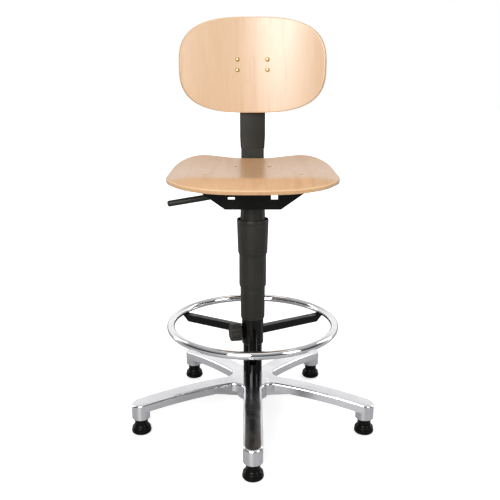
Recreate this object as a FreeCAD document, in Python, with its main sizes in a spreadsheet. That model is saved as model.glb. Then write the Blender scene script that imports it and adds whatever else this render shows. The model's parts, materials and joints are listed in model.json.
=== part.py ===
import FreeCAD, Part
import math
import os
import Sketcher
from FreeCAD import Placement, Rotation, Vector

# A height-adjustable work stool: five-arm base on glides, telescopic gas-spring column, foot ring,
# moulded beech seat and backrest. Millimetres, +Z up, the sitter looks along -Y.
# The origin is on the floor, under the middle of the column.

SIZES = {
    # base star
    "foot_circle": 304, "arm_half": 23.5, "arm_root_fillet": 28.5, "arm_wall": 4.5, "arm_depth": 23,
    "crown_inner": 112, "crown_outer": 76.9, "crown_reach": 340, "crown_radius": 1400, "crown_edge": 5.5,
    "hub_radius": 40, "hub_bottom": 60, "hub_top": 110, "rib_half": 4, "rib_foot": 132, "rib_foot_height": 83,
    "rib_tip": 170, "rib_tip_height": 98.5,
    "socket_bottom": 42, "socket_top": 74, "stem_radius": 5, "stem_top": 66,
    # glides
    "glide_radius": 25.5, "glide_neck": 18, "glide_foot": 19.5, "glide_round": 4.5, "glide_throat": 9,
    # column
    "tube_radius": 24.8, "tube_bore": 23.3, "tube_bottom": 62, "tube_floor": 65, "tube_top": 352,
    "slip": 0.05, "gap": 0.3, "bush_bottom": 300, "bush_flange": 3,
    "rod_radius": 5, "rod_bottom": 56, "piston_bottom": 318, "piston_top": 333,
    "race_radius": 18, "race_thick": 2, "ball_radius": 2.5, "ball_circle": 12,
    "cylinder_radius": 14, "cylinder_bore": 12.4, "cylinder_bottom": 262, "bore_top": 548,
    "cone_bottom": 556, "cone_top": 594, "cone_radius": 13.2, "seal_top": 282,
    "pin_radius": 3, "pin_top": 601.7, "pin_bottom": 552,
    # telescopic cover, three stages
    "upper_rim": 547, "upper_bottom": 457, "upper_radius": 40.5, "upper_foot": 38,
    "middle_top": 469, "middle_bottom": 369, "middle_radius": 35,
    "lower_top": 381, "lower_bottom": 281.4, "lower_radius": 32, "lower_foot": 31.3, "cover_wall": 1.8,
    "web_bottom": 537, "web_top": 540,
    # foot ring
    "ring_radius": 215, "ring_tube": 10, "ring_bore": 8.5, "ring_height": 264,
    "ring_arm_half": 10, "ring_arm_wall": 1.6, "ring_arm_reach": 221,
    "collar_radius": 28.5, "collar_bore": 26.05, "collar_bottom": 214.8, "collar_top": 281,
    "bush_radius": 26, "sleeve_foot": 211.5, "clamp_height": 243.5, "clamp_boss": 9, "boss_reach": 33.5,
    # hand knobs
    "knob_radius": 24, "knob_length": 27, "knob_edge": 4, "flute_radius": 5, "flute_circle": 26.5,
    "stud_radius": 4, "stud_hole": 4.3, "shoe_radius": 3.8,
    # seat mechanism
    "case_bottom": 592, "case_half": 38, "sheet": 3, "case_front": 109, "case_rear": 130,
    "plate_bottom": 648, "plate_top": 651, "wall_front": 112, "wall_foot_half": 66.5,
    "plate_front_half": 145, "plate_rear_half": 62, "plate_rear": 110, "flange_drop": 14,
    "window_middle": 51, "window_half": 8, "window_bottom": 616.5, "window_top": 638,
    "boss_bottom": 545, "boss_foot": 32, "boss_radius": 30, "boss_wall": 2.5, "socket_radius": 18,
    "socket_rise": 598,
    "lever_height": 606, "lever_pivot": 30, "lever_rod": 4, "lever_grip": 8, "lever_bend": 94,
    "lever_tip": 216, "lever_drop": 20.5, "lever_inner": 7,
    "axle_along": 112, "axle_height": 606, "axle_radius": 5, "axle_half": 42,
    # seat and backrest panels
    "seat_thick": 12, "seat_half_width": 210, "seat_half_depth": 197, "seat_middle": -3,
    "screw_radius": 3, "seat_head": 7, "seat_sink": 1.5,
    "back_half_width": 190, "back_half_height": 124.5, "back_middle": 925.5, "back_curve": 420,
    "back_thick": 11, "back_front": 190, "back_screw_side": 40, "back_screw_top": 941, "back_screw_low": 914,
    # back upright
    "bar_half": 25, "bar_front": 224, "bar_rear": 232, "bar_low": 602, "bar_high": 610, "bar_bend": 34,
    "bar_top": 860, "bar_nose": 80, "eye_radius": 10,
    "shroud_half": 32, "shroud_front": 216, "shroud_rear": 240, "shroud_bottom": 640, "shroud_top": 790,
    "sleeve_half": 35, "sleeve_front": 212, "sleeve_rear": 244, "sleeve_bottom": 703, "sleeve_top": 965,
    "sleeve_round": 6, "back_knob_height": 742,
}

BASE_ANGLES = [270 + 72 * i for i in range(5)]  # one arm points at the sitter's feet
RING_ANGLES = {"ring_arm_front": 270, "ring_arm_right": 30, "ring_arm_left": 150}
CLAMP_ANGLE = 195
UP = Vector(0, 0, 1)

doc = FreeCAD.newDocument("WorkStool")
sheet = doc.addObject("Spreadsheet::Sheet", "Sizes")
for row, (alias, number) in enumerate(SIZES.items(), start=1):
    sheet.set(f"A{row}", alias)
    sheet.set(f"B{row}", str(number))
    sheet.setAlias(f"B{row}", alias)
doc.recompute()
NODES = []


# ---- formulas: sums of aliases and numbers -------------------------------------------------------------

def qualified(formula):
    """The formula with each alias written as the sheet's cell."""
    return " ".join(f"Sizes.{word}" if word in SIZES else word for word in formula.split())


def amount(formula):
    """The number that a formula such as "tube_top - 5" stands for."""
    total = 0.0
    sign = 1.0
    for word in formula.split():
        if word in ("+", "-"):
            sign = 1.0 if word == "+" else -1.0
        else:
            total += sign * float(SIZES.get(word, 0) if word in SIZES else word)
            sign = 1.0
    return total


def bind(item, **formulas):
    for name, formula in formulas.items():
        item.setExpression(name.replace("__", "."), qualified(formula))
    return item


def place(item, along=(), turn=None):
    """Turns an object, then binds its position to formulas for X, Y and Z."""
    if turn is not None:
        item.Placement = Placement(Vector(), turn)
    for axis, formula in zip("xyz", along):
        if formula != "0":
            item.setExpression(f"Placement.Base.{axis}", qualified(formula))
    return item


# ---- building blocks -----------------------------------------------------------------------------------

def cylinder(radius, length, along=("0", "0", "0"), turn=None):
    solid = doc.addObject("Part::Cylinder", "Cylinder")
    bind(solid, Radius=radius, Height=length)
    return place(solid, along, turn)


def box(corner, sizes):
    """A box from its lowest corner and its sizes, all formulas."""
    solid = doc.addObject("Part::Box", "Box")
    bind(solid, Length=sizes[0], Width=sizes[1], Height=sizes[2])
    return place(solid, corner)


def less(formula, taken):
    """The first formula minus the second, whose signs are turned round term by term."""
    turned_signs = [{"+": "-", "-": "+"}.get(word, word) for word in taken.split()]
    return " ".join([formula, "-", *turned_signs])


def span(low, high):
    """A box between two corners given as formulas."""
    return box(low, [less(high[i], low[i]) for i in range(3)])


def fused(*items):
    result = doc.addObject("Part::MultiFuse", "Fuse")
    result.Shapes = list(items)
    return result


def group(*items):
    result = doc.addObject("Part::Compound", "Group")
    result.Links = list(items)
    return result


def cut(base, *tools):
    result = doc.addObject("Part::Cut", "Cut")
    result.Base = base
    result.Tool = tools[0] if len(tools) == 1 else fused(*tools)
    return result


def common(*items):
    result = doc.addObject("Part::MultiCommon", "Common")
    result.Shapes = list(items)
    return result


def swung(item, angle):
    """The same piece turned about the column's axis."""
    turned_copy = group(item)
    turned_copy.Placement = Placement(Vector(), Rotation(UP, angle))
    return turned_copy


def around(item, angles):
    return group(*[swung(item, angle) for angle in angles])


def sketched(body, plane, points, arcs=None):
    """A closed outline on one of the body's own planes. Each point is a pair of formulas, and
    arcs gives the radius formula of the stretches, by the index of their first point, that bulge outwards."""
    arcs = arcs or {}
    sketch = body.newObject("Sketcher::SketchObject", "Outline")
    origin_plane = [f for f in body.Origin.OriginFeatures if f.Role == plane][0]
    sketch.AttachmentSupport = [(origin_plane, "")]
    sketch.MapMode = "FlatFace"
    corners = [Vector(amount(a), amount(b), 0) for a, b in points]
    count = len(corners)
    for i, corner in enumerate(corners):
        after = corners[(i + 1) % count]
        if i in arcs:
            radius = amount(arcs[i])
            chord = after - corner
            lift = radius - math.sqrt(radius ** 2 - chord.Length ** 2 / 4)
            side = Vector(-chord.y, chord.x, 0).normalize()
            bulge = (corner + after) * 0.5 - side * lift
            sketch.addGeometry(Part.Arc(corner, bulge, after), False)
        else:
            sketch.addGeometry(Part.LineSegment(corner, after), False)
    # a line's start is its point 1; Sketcher stores every arc anticlockwise, as these outlines run
    for i, (a, b) in enumerate(points):
        sketch.addConstraint(Sketcher.Constraint("Coincident", i, 2, (i + 1) % count, 1))
        for kind, formula in (("DistanceX", a), ("DistanceY", b)):
            value = amount(formula)
            place_of = sketch.addConstraint(Sketcher.Constraint(kind, -1, 1, i, 1, value))
            if any(word in SIZES for word in formula.split()):
                sketch.setExpression(f"Constraints[{place_of}]", qualified(formula))
    for i, formula in arcs.items():
        place_of = sketch.addConstraint(Sketcher.Constraint("Radius", i, amount(formula)))
        sketch.setExpression(f"Constraints[{place_of}]", qualified(formula))
    return sketch


def turned(profile, arcs=None):
    """A body of revolution about its own Z axis. The profile is (radius, height) formulas, anticlockwise."""
    body = doc.addObject("PartDesign::Body", "Turned")
    sketch = sketched(body, "XZ_Plane", profile, arcs)
    revolution = body.newObject("PartDesign::Revolution", "Revolution")
    revolution.Profile = sketch
    revolution.ReferenceAxis = (sketch, ["V_Axis"])
    revolution.Angle = 360
    return body


def ring(outer, inner, bottom, top):
    return turned([(inner, bottom), (outer, bottom), (outer, top), (inner, top)])


def slab(plane, outline, length, arcs=None):
    """An outline on a plane through the body's origin, padded by a length, equally to both sides."""
    body = doc.addObject("PartDesign::Body", "Slab")
    pad = body.newObject("PartDesign::Pad", "Pad")
    pad.Profile = sketched(body, plane, outline, arcs)
    pad.SideType = "Symmetric"
    bind(pad, Length=length)
    return body


def rounded(body, radius, wanted):
    """Fillets the edges of a body that the test picks."""
    doc.recompute()
    tip = body.Tip
    names = [f"Edge{i}" for i, edge in enumerate(tip.Shape.Edges, start=1) if wanted(edge)]
    fillet = body.newObject("PartDesign::Fillet", "Fillet")
    fillet.Base = (tip, names)
    bind(fillet, Radius=radius)
    return body


def at_height(*levels):
    """Picks round edges whose middle is at one of these heights."""
    heights = [amount(level) for level in levels]

    def wanted(edge):
        middle = edge.BoundBox.Center
        return edge.BoundBox.ZLength < 0.01 and any(abs(middle.z - z) < 0.01 for z in heights)

    return wanted


def on_rim(radius, *levels):
    """Picks round edges of one radius at these heights."""
    level_test = at_height(*levels)
    return lambda edge: level_test(edge) and abs(edge.BoundBox.XLength / 2 - amount(radius)) < 0.01


def crossbar_at(along, height):
    """Picks the edge that runs sideways at this place."""
    def wanted(edge):
        middle = edge.BoundBox.Center
        return (edge.BoundBox.YLength < 0.01 and abs(middle.y - amount(along)) < 0.01
                and abs(middle.z - amount(height)) < 0.01)

    return wanted


def upright_edges(edge):
    return edge.BoundBox.XLength < 0.01 and edge.BoundBox.YLength < 0.01


def superellipse(half_width, half_height, power, middle, plane_of):
    """A closed curve |x/a|^n + |y/b|^n = 1, with each point put in space by plane_of."""
    points = []
    for i in range(64):
        angle = 2 * math.pi * i / 64
        c, s = math.cos(angle), math.sin(angle)
        x = half_width * math.copysign(abs(c) ** (2 / power), c)
        y = middle + half_height * math.copysign(abs(s) ** (2 / power), s)
        points.append(plane_of(x, y))
    curve = Part.BSplineCurve()
    curve.interpolate(points, PeriodicFlag=True)
    return Part.Wire(curve.toShape())


def feature(shape):
    item = doc.addObject("Part::Feature", "Shape")
    item.Shape = shape
    return item


def node(label, item):
    item.Label = label
    NODES.append(item)
    return item


# ---- base ----------------------------------------------------------------------------------------------

def dome(drop, floor):
    """A solid of revolution under the star's gently curved top, lowered by drop, standing on floor."""
    return turned(
        [("0", floor), ("crown_reach", floor), ("crown_reach", f"crown_outer - {drop}"),
         ("0", f"crown_inner - {drop}")],
        arcs={2: "crown_radius"})


def star_prism():
    """The star's plan, extruded: five straight arms with round ends and filleted roots."""
    body = doc.addObject("PartDesign::Body", "StarPlan")
    pad = body.newObject("PartDesign::Pad", "Arm")
    pad.Profile = sketched(
        body, "XY_Plane",
        [("0", "0 - arm_half"), ("foot_circle", "0 - arm_half"), ("foot_circle + arm_half", "0"),
         ("foot_circle", "arm_half"), ("0", "arm_half")],
        arcs={1: "arm_half", 2: "arm_half"})
    bind(pad, Length="crown_inner + 5")
    pattern = body.newObject("PartDesign::PolarPattern", "Arms")
    pattern.Originals = [pad]
    z_axis = [f for f in body.Origin.OriginFeatures if f.Role == "Z_Axis"][0]
    pattern.Axis = (z_axis, [""])
    pattern.Angle = 360
    pattern.Occurrences = len(BASE_ANGLES)
    body.Tip = pattern
    root = amount("arm_half") / math.sin(math.pi / len(BASE_ANGLES))

    def arm_roots(edge):
        middle = edge.BoundBox.Center
        return upright_edges(edge) and abs(math.hypot(middle.x, middle.y) - root) < 0.5

    rounded(body, "arm_root_fillet", arm_roots)
    body.Placement = Placement(Vector(), Rotation(UP, BASE_ANGLES[0]))
    return body


def base_star():
    skin = common(star_prism(), dome("0", "0"))
    doc.recompute()
    crown = amount("crown_outer")
    top_edges = [i for i, edge in enumerate(skin.Shape.Edges, start=1)
                 if edge.BoundBox.ZMin > crown - 1 and not edge.isSeam(skin.Shape.Faces[0])]
    edged = doc.addObject("Part::Fillet", "CrownEdge")
    edged.Base = skin
    edged.Edges = [(i, amount("crown_edge"), amount("crown_edge")) for i in top_edges]
    arms = cut(edged, dome("arm_depth", "0 - 5"))
    inside = common(
        around(box(("hub_radius + 6", "arm_wall - arm_half", "0"),
                   ("foot_circle - hub_radius - 33", "arm_half + arm_half - arm_wall - arm_wall", "130")),
               BASE_ANGLES),
        dome("arm_wall", "0 - 5"))
    hub = cylinder("hub_radius", "hub_top - hub_bottom", ("0", "0", "hub_bottom"))
    socket = cylinder("arm_half - gap", "socket_top - socket_bottom", ("foot_circle", "0", "socket_bottom"))
    rib = slab("XZ_Plane",
               [("hub_radius - 5", "hub_bottom + 3"), ("rib_foot", "rib_foot_height"),
                ("rib_tip", "rib_tip_height"), ("hub_radius - 5", "hub_top + 1")],
               "rib_half + rib_half")
    solid = fused(cut(arms, inside), hub, around(socket, BASE_ANGLES), around(rib, BASE_ANGLES))
    column_bore = cylinder("tube_radius", "100", ("0", "0", "tube_bottom - 10"))
    stem_bore = cylinder("stem_radius", "stem_top - socket_bottom + 1", ("foot_circle", "0", "socket_bottom - 1"))
    return node("base_star", cut(solid, column_bore, around(stem_bore, BASE_ANGLES)))


def glides():
    bell = turned(
        [("0", "0"), ("glide_foot", "0"), ("glide_radius", "7"), ("glide_radius", "14"),
         ("glide_neck", "29"), ("glide_neck", "socket_bottom"), ("stem_radius", "socket_bottom"),
         ("stem_radius", "12"), ("0", "12")])
    rounded(bell, "glide_round", on_rim("glide_radius", "7", "14"))
    rounded(bell, "glide_throat", on_rim("glide_neck", "29"))
    place(bell, ("foot_circle", "0", "0"))
    stem = turned(
        [("0", "12"), ("stem_radius", "12"), ("stem_radius", "stem_top - 1"), ("stem_radius - 1", "stem_top"),
         ("0", "stem_top")])
    place(stem, ("foot_circle", "0", "0"))
    node("glides", around(bell, BASE_ANGLES))
    node("glide_stems", around(stem, BASE_ANGLES))


def stand_tube():
    node("stand_tube", turned(
        [("rod_radius + 0.6", "tube_bottom"), ("tube_radius", "tube_bottom"), ("tube_radius", "tube_top"),
         ("tube_bore", "tube_top"), ("tube_bore", "tube_floor"), ("rod_radius + 0.6", "tube_floor")]))
    node("guide_bush", turned(
        [("cylinder_radius + slip", "bush_bottom"), ("tube_bore", "bush_bottom"), ("tube_bore", "tube_top"),
         ("tube_radius", "tube_top"), ("tube_radius", "tube_top + bush_flange"),
         ("cylinder_radius + slip", "tube_top + bush_flange")]))
    node("cover_clip", ring("lower_radius - cover_wall", "tube_radius", "tube_top - 24", "tube_top - 8"))


def thrust_bearing():
    """Two washers and a caged row of balls under the piston rod, which carry the seat and let it turn."""
    node("bearing_lower_washer", ring("race_radius", "rod_radius + 0.6", "tube_floor", "tube_floor + race_thick"))
    ball = doc.addObject("Part::Sphere", "Ball")
    bind(ball, Radius="ball_radius")
    place(ball, ("ball_circle", "0", "tube_floor + race_thick + ball_radius"))
    ball_angles = [36 * i for i in range(10)]
    node("bearing_balls", around(ball, ball_angles))
    cage = ring("race_radius - 1", "rod_radius + 1.5", "tube_floor + race_thick + 1.5",
                "tube_floor + race_thick + 3.5")
    pocket = cylinder("ball_radius + slip", "8", ("ball_circle", "0", "tube_floor"))
    node("bearing_cage", cut(cage, around(pocket, ball_angles)))
    race = "tube_floor + race_thick + ball_radius + ball_radius + slip"
    node("bearing_upper_washer", ring("race_radius", "rod_radius", race, race + " + race_thick"))
    damper = ring("race_radius - 2", "rod_radius", race + " + race_thick", race + " + race_thick + 16")
    node("bottom_damper", rounded(damper, "race_thick", on_rim("race_radius - 2", race + " + race_thick + 16")))


def gas_spring():
    clip_top = "tube_bottom - slip - 1.8"
    node("piston_rod", turned(
        [("0", "rod_bottom"), ("rod_radius - 1", "rod_bottom"), ("rod_radius", "rod_bottom + 1"),
         ("rod_radius", "piston_top + 6"), ("0", "piston_top + 6")]))
    node("piston", ring("cylinder_bore - slip", "rod_radius", "piston_bottom", "piston_top"))
    node("thrust_washer", ring("ball_circle", "rod_radius", clip_top, "tube_bottom - slip"))
    clip = ring("rod_radius + 4", "rod_radius", clip_top + " - 1.2", clip_top)
    node("retaining_clip", cut(clip, box(("0", "0 - 2", "rod_bottom"), ("20", "4", "10"))))
    node("gas_cylinder", turned(
        [("cylinder_bore", "cylinder_bottom"), ("cylinder_radius", "cylinder_bottom"),
         ("cylinder_radius", "cone_bottom"), ("cone_radius", "cone_top"),
         ("pin_radius + slip", "cone_top"), ("pin_radius + slip", "bore_top"), ("cylinder_bore", "bore_top")]))
    node("rod_seal", ring("cylinder_bore", "rod_radius + slip", "cylinder_bottom", "seal_top"))
    pin = cylinder("pin_radius", "pin_top - pin_bottom", ("0", "0", "pin_bottom"))
    node("release_pin", pin)


def telescopic_cover():
    """Three plastic stages. The upper one hangs on the gas cylinder, the lower one stands on the tube."""
    node("cover_upper", turned(
        [("cylinder_radius", "web_bottom"), ("upper_radius - cover_wall", "web_bottom"),
         ("upper_foot - cover_wall", "upper_bottom + 6"), ("middle_radius + gap", "upper_bottom + 4"),
         ("middle_radius + gap", "upper_bottom"), ("upper_foot - 1.4", "upper_bottom"),
         ("upper_foot", "upper_bottom + 5"), ("upper_radius", "upper_rim - 1"),
         ("upper_radius - 0.6", "upper_rim"), ("upper_radius - cover_wall", "upper_rim"),
         ("upper_radius - cover_wall", "web_top"), ("cylinder_radius", "web_top")]))
    inner = "middle_radius - cover_wall"
    node("cover_middle", turned(
        [(inner, "middle_bottom + 5"), ("lower_radius + gap", "middle_bottom + 4"),
         ("lower_radius + gap", "middle_bottom"), ("middle_radius - 1.4", "middle_bottom"),
         ("middle_radius", "middle_bottom + 5"), ("middle_radius", "middle_top"), (inner, "middle_top")]))
    inner = "lower_radius - cover_wall"
    node("cover_lower", turned(
        [("lower_foot - cover_wall - 1", "lower_bottom"), ("lower_foot - 1.4", "lower_bottom"),
         ("lower_foot", "lower_bottom + 5"), ("lower_radius", "middle_bottom - 12"),
         ("lower_radius", "lower_top"), (inner, "lower_top"), (inner, "tube_top - 40")]))


# ---- foot ring -----------------------------------------------------------------------------------------

def hand_knob():
    """A fluted knob about its own Z axis, from 0 to knob_length, bored for its stud."""
    blank = turned(
        [("stud_radius", "0"), ("knob_radius - 6", "0"), ("knob_radius", "6"), ("knob_radius", "knob_length"),
         ("0", "knob_length"), ("0", "knob_length - 8"), ("stud_radius", "knob_length - 8")])
    rounded(blank, "knob_edge", on_rim("knob_radius", "knob_length"))
    flute = cylinder("flute_radius", "knob_length + 2", ("flute_circle", "0", "0 - 1"))
    return cut(blank, around(flute, [45 * i for i in range(8)]))


def stud(start, end):
    return turned([("0", start), ("stud_radius - 1", start), ("stud_radius", start + " + 1"),
                   ("stud_radius", end), ("0", end)])


def outward(item, angle, height, distance="0"):
    """Lays a piece made along Z so that it points away from the column, horizontally."""
    direction = Vector(math.cos(math.radians(angle)), math.sin(math.radians(angle)), 0)
    item.Placement = Placement(direction * amount(distance) + UP * amount(height), Rotation(UP, direction))
    return item


def foot_ring():
    node("ring_bush", turned(
        [("tube_radius + slip", "sleeve_foot"), ("collar_radius - 1.5", "sleeve_foot"),
         ("collar_radius", "sleeve_foot + 2"), ("collar_radius", "collar_bottom - gap"),
         ("bush_radius", "collar_bottom - gap"), ("bush_radius", "collar_top - 1"),
         ("tube_radius + slip", "collar_top - 1")]))
    sleeve = ring("collar_radius", "collar_bore", "collar_bottom", "collar_top")
    boss = outward(cylinder("clamp_boss", "boss_reach"), CLAMP_ANGLE, "clamp_height")
    stud_way = outward(cylinder("stud_hole", "boss_reach + 5"), CLAMP_ANGLE, "clamp_height")
    inside = cylinder("collar_bore", "120", ("0", "0", "sleeve_foot - 10"))
    node("ring_collar", cut(fused(sleeve, boss), inside, stud_way))

    top = "ring_height - ring_tube"
    low = "ring_height - ring_tube - ring_arm_half - ring_arm_half"
    bar = slab("XZ_Plane",
               [("0", low), ("ring_arm_reach - 20", low), ("ring_arm_reach", top), ("0", top)],
               "ring_arm_half + ring_arm_half")
    rounded(bar, "ring_arm_wall", lambda edge: edge.BoundBox.YLength < 0.01 and edge.BoundBox.ZLength < 0.01)
    wall = "ring_arm_wall"
    hollow = box(("0", f"{wall} - ring_arm_half", f"{low} + {wall}"),
                 ("260", f"ring_arm_half + ring_arm_half - {wall} - {wall}",
                  f"ring_arm_half + ring_arm_half - {wall} - {wall}"))
    saddle = cylinder("collar_radius", "80", ("0", "0", "collar_bottom"))
    for label, angle in RING_ANGLES.items():
        arm = cut(bar, hollow, saddle)
        arm.Placement = Placement(Vector(), Rotation(UP, angle))
        node(label, arm)

    torus = doc.addObject("Part::Torus", "RingTube")
    bind(torus, Radius1="ring_radius", Radius2="ring_tube")
    place(torus, ("0", "0", "ring_height"))
    bore = doc.addObject("Part::Torus", "RingBore")
    bind(bore, Radius1="ring_radius", Radius2="ring_bore")
    place(bore, ("0", "0", "ring_height"))
    drain = cylinder("ring_arm_wall", "ring_tube", ("0", "ring_radius", "ring_height - ring_tube - 1"))
    node("foot_ring", cut(torus, bore, drain))

    node("clamp_knob", outward(hand_knob(), CLAMP_ANGLE, "clamp_height", "boss_reach + gap"))
    node("clamp_stud", outward(stud("bush_radius + 2.6", "boss_reach + gap + knob_length - 8"),
                               CLAMP_ANGLE, "clamp_height"))
    shoe = cylinder("shoe_radius", "2", ("0", "0", "bush_radius + gap"))
    node("clamp_shoe", outward(group(shoe), CLAMP_ANGLE, "clamp_height"))


# ---- seat mechanism ------------------------------------------------------------------------------------

def mechanism():
    case_outer = span(("0 - case_half", "0 - case_front", "case_bottom"),
                      ("case_half", "case_rear", "plate_bottom"))
    case_inner = span(("sheet - case_half", "0 - 200", "case_bottom + sheet"),
                      ("case_half - sheet", "200", "plate_bottom + 5"))
    socket_way = cylinder("socket_radius", "20", ("0", "0", "case_bottom - 5"))
    sideways = Rotation(Vector(0, 1, 0), 90)
    axle_way = cylinder("axle_radius", "200", ("0 - 100", "axle_along", "axle_height"), sideways)
    lever_way = cylinder("lever_rod + 3", "40", ("0 - case_half - 20", "0", "lever_height"), sideways)
    node("mechanism_case", cut(case_outer, case_inner, socket_way, axle_way, lever_way))

    plate = slab("XY_Plane",
                 [("0 - plate_front_half", "0 - wall_front"), ("plate_front_half", "0 - wall_front"),
                  ("plate_rear_half", "plate_rear"), ("0 - plate_rear_half", "plate_rear")],
                 "sheet")
    place(plate, ("0", "0", "plate_bottom + 1.5"))
    wall = slab("XZ_Plane",
                [("0 - wall_foot_half", "case_bottom"), ("wall_foot_half", "case_bottom"),
                 ("plate_front_half", "plate_bottom"), ("0 - plate_front_half", "plate_bottom")],
                "sheet")
    place(wall, ("0", "1.5 - wall_front", "0"))
    windows = [span((f"{side} - window_half", "0 - 130", "window_bottom"),
                    (f"{side} + window_half", "0 - 90", "window_top"))
               for side in ("window_middle", "0 - window_middle")]
    flanges = []
    for side in ("", "0 - "):
        points = [(f"{side}plate_front_half", "sheet - wall_front"), (f"{side}plate_rear_half", "plate_rear")]
        shift = " - sheet" if side == "" else " + sheet"
        outline = [points[0], points[1], (points[1][0] + shift, points[1][1]), (points[0][0] + shift, points[0][1])]
        if side:
            outline.reverse()
        flange = slab("XY_Plane", outline, "flange_drop")
        flanges.append(place(flange, ("0", "0", "plate_bottom - 7")))
    bolt_ways = [cylinder("screw_radius", "40", (str(x), str(y), "plate_bottom - 20")) for x, y in SEAT_BOLTS]
    node("seat_carrier", cut(fused(plate, cut(wall, *windows), *flanges), *bolt_ways))

    node("taper_socket", turned(
        [("cylinder_radius", "cone_bottom"), ("socket_radius", "cone_bottom"), ("socket_radius", "socket_rise"),
         ("cone_radius", "socket_rise"), ("cone_radius", "cone_top")]))
    node("taper_cover", turned(
        [("boss_foot - boss_wall", "boss_bottom"), ("boss_foot", "boss_bottom"), ("boss_radius", "case_bottom"),
         ("socket_radius", "case_bottom"), ("socket_radius", "case_bottom - 4"),
         ("boss_radius - boss_wall", "case_bottom - 4")]))

    node("pivot_axle", cylinder("axle_radius", "axle_half + axle_half",
                                ("0 - axle_half", "axle_along", "axle_height"), sideways))
    clips = []
    for side in ("axle_half - 3", "1.8 - axle_half"):
        disc = cylinder("axle_radius + 3", "1.2", (side, "axle_along", "axle_height"), sideways)
        clips.append(cut(disc, cylinder("axle_radius", "10", (side + " - 5", "axle_along", "axle_height"), sideways)))
    node("axle_clips", group(*clips))


def tilt_parts():
    """A spring under the carrier plate holds the back upright on its rubber stop."""
    base = "bar_high"
    helix = doc.addObject("Part::Helix", "SpringLine")
    bind(helix, Radius="9", Height="plate_bottom - bar_high - 3", Pitch="6.5")
    place(helix, ("0", "bar_nose + 12", base + " + 1.5"))
    wire = doc.addObject("Part::Circle", "SpringWire")
    bind(wire, Radius="1.4")
    wire.Placement = Placement(Vector(9, 0, 0), Rotation(Vector(1, 0, 0), 90))
    place(wire, ("9", "bar_nose + 12", base + " + 1.5"))
    doc.recompute()
    coil = doc.addObject("Part::Sweep", "Coil")
    coil.Sections = [wire]
    coil.Spine = (helix, [f"Edge{i + 1}" for i in range(len(helix.Shape.Edges))])
    coil.Solid = True
    coil.Frenet = True
    node("tilt_spring", coil)
    node("tilt_stop", span(("0 - 14", "bar_nose + 2", "case_bottom + sheet"),
                           ("14", "bar_nose + 18", "bar_low - gap")))


def release_lever():
    cheeks = [span(("0 - case_half + sheet", y, "case_bottom + sheet"), ("0 - 21", y + " + 3", "lever_height + 9"))
              for y in ("6", "0 - 9")]
    pin_way = cylinder("screw_radius", "60", ("0 - lever_pivot", "30", "lever_height"), Rotation(Vector(1, 0, 0), 90))
    node("lever_bracket", group(*[cut(cheek, pin_way) for cheek in cheeks]))
    node("lever_pin", cylinder("screw_radius", "24", ("0 - lever_pivot", "12", "lever_height"),
                               Rotation(Vector(1, 0, 0), 90)))
    sideways = Rotation(Vector(0, 1, 0), 90)
    straight = cylinder("lever_rod", "lever_bend + lever_inner", ("0 - lever_bend", "0", "lever_height"), sideways)
    hub = cylinder("lever_rod + 2.5", "11", ("0 - lever_pivot", "5.5", "lever_height"), Rotation(Vector(1, 0, 0), 90))
    pin_bore = cylinder("screw_radius + slip", "30", ("0 - lever_pivot", "15", "lever_height"),
                        Rotation(Vector(1, 0, 0), 90))
    run = amount("lever_tip - lever_bend")
    slope = Vector(-run, 0, -amount("lever_drop"))
    handle = cylinder("lever_rod", f"{slope.Length - 4:.3f}", ("0 - lever_bend", "0", "lever_height"),
                      Rotation(UP, slope))
    elbow = doc.addObject("Part::Sphere", "Elbow")
    bind(elbow, Radius="lever_rod")
    place(elbow, ("0 - lever_bend", "0", "lever_height"))
    node("lever_rod_bar", cut(fused(straight, hub, handle, elbow), pin_bore))
    grip = turned([("lever_rod", "6"), ("lever_grip - 1.2", "6"), ("lever_grip", "8"),
                   ("lever_grip", f"{slope.Length - 2:.3f}"), ("lever_grip - 2", f"{slope.Length:.3f}"),
                   ("0", f"{slope.Length:.3f}"), ("0", f"{slope.Length - 4:.3f}"),
                   ("lever_rod", f"{slope.Length - 4:.3f}")])
    node("lever_grip_sleeve", place(grip, ("0 - lever_bend", "0", "lever_height"), Rotation(UP, slope)))


# ---- seat ----------------------------------------------------------------------------------------------

SEAT_BOLTS = [(47, 89), (-47, 89), (115, -96), (-115, -96)]
# the seat's middle line from the waterfall front to the lifted rear: (distance back, height)
SEAT_LINE = [(-215, 643.5), (-198, 652), (-172, 662.5), (-150, 669), (-125, 671), (-60, 669.5), (40, 666.5),
             (120, 669.5), (190, 677), (215, 680.5)]


def seat_line_curve():
    line = Part.BSplineCurve()
    line.interpolate([Vector(0, y, z) for y, z in SEAT_LINE])
    return line


def seat_height(x, y, line):
    """The top of the seat: the middle line, lifted towards the sides into a shallow saddle with drooping edges."""
    low, high = line.FirstParameter, line.LastParameter
    for _ in range(40):
        middle = (low + high) / 2
        if line.value(middle).y < y:
            low = middle
        else:
            high = middle
    lift = (5.5 + 0.033 * (y + 90)) * math.sin(math.pi / 2 * min(abs(x) / 180, 1)) ** 2.4
    droop = 12 * (max(abs(x) - 120, 0) / 90) ** 2
    return line.value(low).z + lift - droop


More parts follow.
